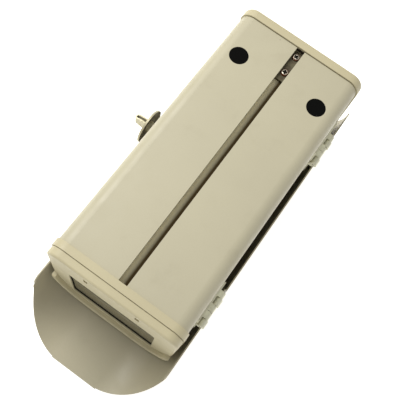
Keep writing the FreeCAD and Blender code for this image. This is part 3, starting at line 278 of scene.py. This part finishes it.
FINISHES = {
    "body_paint": paint("body_paint", colour(186, 180, 154), colour(182, 176, 151), channel=True),
    "cap_paint": paint("cap_paint", colour(193, 184, 150), colour(188, 179, 146), 700.0, 0.09 * MM, 0.45),
    "shield_paint": paint("shield_paint", colour(182, 175, 150), colour(176, 170, 145)),
    "black_rubber": rubber("black_rubber", colour(46, 41, 32), colour(62, 56, 44)),
    "plug_rubber": rubber("plug_rubber", colour(5, 5, 4), colour(10, 9, 7)),
    "plated_screws": metal("plated_screws", colour(205, 203, 196), colour(160, 152, 136), colour(110, 84, 60),
                           0.28, stain_share=0.35),
    "hinge_metal": metal("hinge_metal", colour(232, 231, 209), colour(200, 197, 174), colour(112, 78, 52),
                         0.5, stain_share=0.3, metallic=0.35),
    "latch_metal": metal("latch_metal", colour(196, 190, 162), colour(160, 152, 122), colour(96, 74, 50),
                         0.46, stain_share=0.25, metallic=0.5, painted_inner_shade=True),
    "bush_brass": metal("bush_brass", colour(206, 172, 112), colour(150, 116, 72), colour(96, 72, 48), 0.3,
                        stain_share=0.4),
    "window_pane": pane("window_pane"),
    "sled_aluminium": metal("sled_aluminium", colour(218, 218, 216), colour(188, 188, 186),
                            colour(150, 148, 142), 0.36, (1.0, 0.05, 1.0)),
    "spacer_plastic": plastic("spacer_plastic", colour(34, 34, 33), colour(52, 51, 48)),
    "camera_bolt": metal("camera_bolt", colour(226, 224, 218), colour(190, 184, 172),
                         colour(140, 120, 100), 0.2),
    "slider_plated": metal("slider_plated", colour(112, 106, 82), colour(60, 46, 33),
                           colour(96, 54, 32), 0.45, tarnish_share=0.8, stain_share=0.6, metallic=0.6),
}
RUSTY_SCREW = metal("rusty_screw", colour(206, 202, 188), colour(132, 108, 84), colour(110, 60, 32), 0.3,
                    tarnish_share=0.7, stain_share=0.8)
SCREW_RIM = rubber("screw_rim", colour(104, 58, 32), colour(150, 134, 112))
# Painted shade: the screws' cross recesses are coloured near black.
SCREW_RECESS_SHADE = rubber("screw_recess_shade", colour(16, 13, 10), colour(40, 24, 15))


def dress_frame():
    """Each CAD node takes the finish of its material slot."""
    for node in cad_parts.values():
        for place in node.material_slots:
            place.material = FINISHES[place.material.name.split(".")[0]]


# ---------------------------------------------------------------------------------------------
# Slider screws: worn pan heads with a cross recess
# ---------------------------------------------------------------------------------------------
SEGMENTS = 96
DOME_RINGS = 34
PLATED, RECESS, RIM = 0, 1, 2        # the screws' material slots
TWISTS = (0.35, 0.95)                # how far each screw is turned, in radians
SHANK_R = 1.85 * MM
HEAD_DEPTH = 2.2 * MM
SHOULDER = 0.45                      # upright part of the head's edge, as a share of its depth
CROSS_HALF = 0.7 * MM
RIM_START = 0.82                     # rusty rim, from this share of the head's radius outwards
CROSS_REACH = 0.6                    # as a share of the head's radius
CROSS_DEPTH = 0.8                    # as a share of the head's depth


def eased(level, start, end):
    share = min(max((level - start) / (end - start), 0.0), 1.0)
    return share * share * (3 - 2 * share)


def cross_recess(across, along, reach):
    """1 inside a cross centred on the screw, 0 outside, with sloping walls."""
    def inside(level, limit):
        return 1 - eased(abs(level), limit - 0.05 * MM, limit + 0.2 * MM)
    return max(inside(across, CROSS_HALF) * inside(along, reach),
               inside(along, CROSS_HALF) * inside(across, reach))


def head_top(radius, turn, head_r):
    """Height of the domed top above the head's seat, with the recess sunk into it."""
    dome = HEAD_DEPTH * (SHOULDER + (1 - SHOULDER) * math.sqrt(max(1 - (radius / head_r) ** 4, 0)))
    sunk = cross_recess(radius * math.cos(turn), radius * math.sin(turn), CROSS_REACH * head_r)
    return dome - CROSS_DEPTH * HEAD_DEPTH * sunk * (1 - 0.5 * radius / head_r)


def part_of_head(spot, head_r, twist):
    """Material slot at a spot given from the head's seat."""
    radius = math.hypot(spot.x, spot.y)
    turn = math.atan2(spot.y, spot.x) - twist
    if spot.z <= 0:
        return PLATED
    if cross_recess(radius * math.cos(turn), radius * math.sin(turn), CROSS_REACH * head_r) > 0.5:
        return RECESS
    return RIM if radius > RIM_START * head_r else PLATED


def add_screw(mesh, seat, head_r, length, twist):
    """One upright screw whose head sits at a point, as rings of vertices joined by quads."""
    turns = [twist + 2 * math.pi * step / SEGMENTS for step in range(SEGMENTS)]
    side = [(0.8 * SHANK_R, -length), (SHANK_R, 0.4 * MM - length), (SHANK_R, 0.0), (0.95 * head_r, 0.0),
            (head_r, 0.05 * HEAD_DEPTH)]
    rings = [[(radius, height)] * SEGMENTS for radius, height in side]
    for step in range(DOME_RINGS):
        radius = head_r * (1 - step / DOME_RINGS)
        rings.append([(radius, head_top(radius, turn - twist, head_r)) for turn in turns])
    loops = [[mesh.verts.new(seat + Vector((radius * math.cos(turn), radius * math.sin(turn), height)))
              for turn, (radius, height) in zip(turns, ring)] for ring in rings]
    for lower, upper in zip(loops, loops[1:]):
        for step in range(SEGMENTS):
            after = (step + 1) % SEGMENTS
            face = mesh.faces.new((lower[step], lower[after], upper[after], upper[step]))
            face.material_index = part_of_head(face.calc_center_median() - seat, head_r, twist)
    crown = mesh.verts.new(seat + Vector((0, 0, head_top(0.0, 0.0, head_r))))
    foot = mesh.verts.new(seat - Vector((0, 0, length)))
    for step in range(SEGMENTS):
        after = (step + 1) % SEGMENTS
        mesh.faces.new((loops[-1][step], loops[-1][after], crown)).material_index = RECESS
        mesh.faces.new((loops[0][after], loops[0][step], foot))


def slider_screws():
    corner_low, corner_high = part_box("slider_screws")
    head_r = (corner_high.x - corner_low.x) / 2
    seat_z = corner_high.z - HEAD_DEPTH
    builder = bmesh.new()
    for along, twist in zip((corner_low.y + head_r, corner_high.y - head_r), TWISTS):
        seat = Vector(((corner_low.x + corner_high.x) / 2, along, seat_z))
        add_screw(builder, seat, head_r, seat_z - corner_low.z, twist)
    for face in builder.faces:
        face.smooth = True
    mesh = bpy.data.meshes.new("slider_screw_pair")
    builder.to_mesh(mesh)
    builder.free()
    mesh.set_sharp_from_angle(angle=math.radians(50))
    for material in (RUSTY_SCREW, SCREW_RECESS_SHADE, SCREW_RIM):
        mesh.materials.append(material)
    pair = bpy.data.objects.new("slider_screw_pair", mesh)
    bpy.context.scene.collection.objects.link(pair)
    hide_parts("slider_screws")
    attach(pair, "slider")


# ---------------------------------------------------------------------------------------------
# Camera, light and floor
# ---------------------------------------------------------------------------------------------
CAMERA_AZIMUTH = math.radians(15.5)
CAMERA_ELEVATION = math.radians(70.06)
CAMERA_ROLL = math.radians(20.66)
CAMERA_DISTANCE = 0.5654
CAMERA_AIM = Vector((9.8 * MM, -45.6 * MM, BODY_TOP))
LENS = 56.5
WORLD_STRENGTH = 0.56
SOFTBOXES = [("key", (-0.84, 0.26, 1.28), 0.9, 18.5)]
LAMP_AIM = Vector((0, 0, 0.08))
FLOOR_HALF = 3.0


def aimed(location, target, roll=0.0):
    """Placement at a spot, looking at another, turned round its own axis."""
    back = (location - target).normalized()
    right = Vector((0, 0, 1)).cross(back).normalized()
    up = back.cross(right)
    turn = Matrix((right, up, back)).transposed().to_4x4()
    return Matrix.Translation(location) @ turn @ Matrix.Rotation(roll, 4, "Z")


def photo_camera():
    camera = bpy.data.objects.new("camera", bpy.data.cameras.new("camera"))
    camera.data.lens = LENS
    camera.data.clip_start = 0.01
    level = math.cos(CAMERA_ELEVATION)
    back = Vector((math.sin(CAMERA_AZIMUTH) * level, -math.cos(CAMERA_AZIMUTH) * level,
                   math.sin(CAMERA_ELEVATION)))
    camera.matrix_world = aimed(CAMERA_AIM + back * CAMERA_DISTANCE, CAMERA_AIM, CAMERA_ROLL)
    bpy.context.scene.collection.objects.link(camera)
    bpy.context.scene.camera = camera


def softbox(name, location, width, power):
    lamp = bpy.data.lights.new(name, "AREA")
    lamp.shape = "SQUARE"
    lamp.size = width
    lamp.energy = power
    lamp.color = (1.0, 0.985, 0.955)
    thing = bpy.data.objects.new(name, lamp)
    thing.matrix_world = aimed(Vector(location), LAMP_AIM)
    bpy.context.scene.collection.objects.link(thing)


def studio():
    """White floor under a soft tent, lit most strongly from above the latch side."""
    mesh = bpy.data.meshes.new("floor")
    mesh.from_pydata([(-FLOOR_HALF, -FLOOR_HALF, 0), (FLOOR_HALF, -FLOOR_HALF, 0),
                      (FLOOR_HALF, FLOOR_HALF, 0), (-FLOOR_HALF, FLOOR_HALF, 0)], [], [(0, 1, 2, 3)])
    floor = bpy.data.objects.new("floor", mesh)
    floor.location.z = cad_low.z - 0.2 * MM
    mesh.materials.append(backdrop())
    bpy.context.scene.collection.objects.link(floor)
    world = bpy.data.worlds.new("tent")
    world.use_nodes = True
    world.node_tree.nodes["Background"].inputs["Color"].default_value = (1.0, 0.99, 0.97, 1)
    world.node_tree.nodes["Background"].inputs["Strength"].default_value = WORLD_STRENGTH
    bpy.context.scene.world = world
    for name, location, width, power in SOFTBOXES:
        softbox(name, location, width, power)
    bpy.context.scene.view_settings.view_transform = "Standard"


dress_frame()
slider_screws()
photo_camera()
studio()
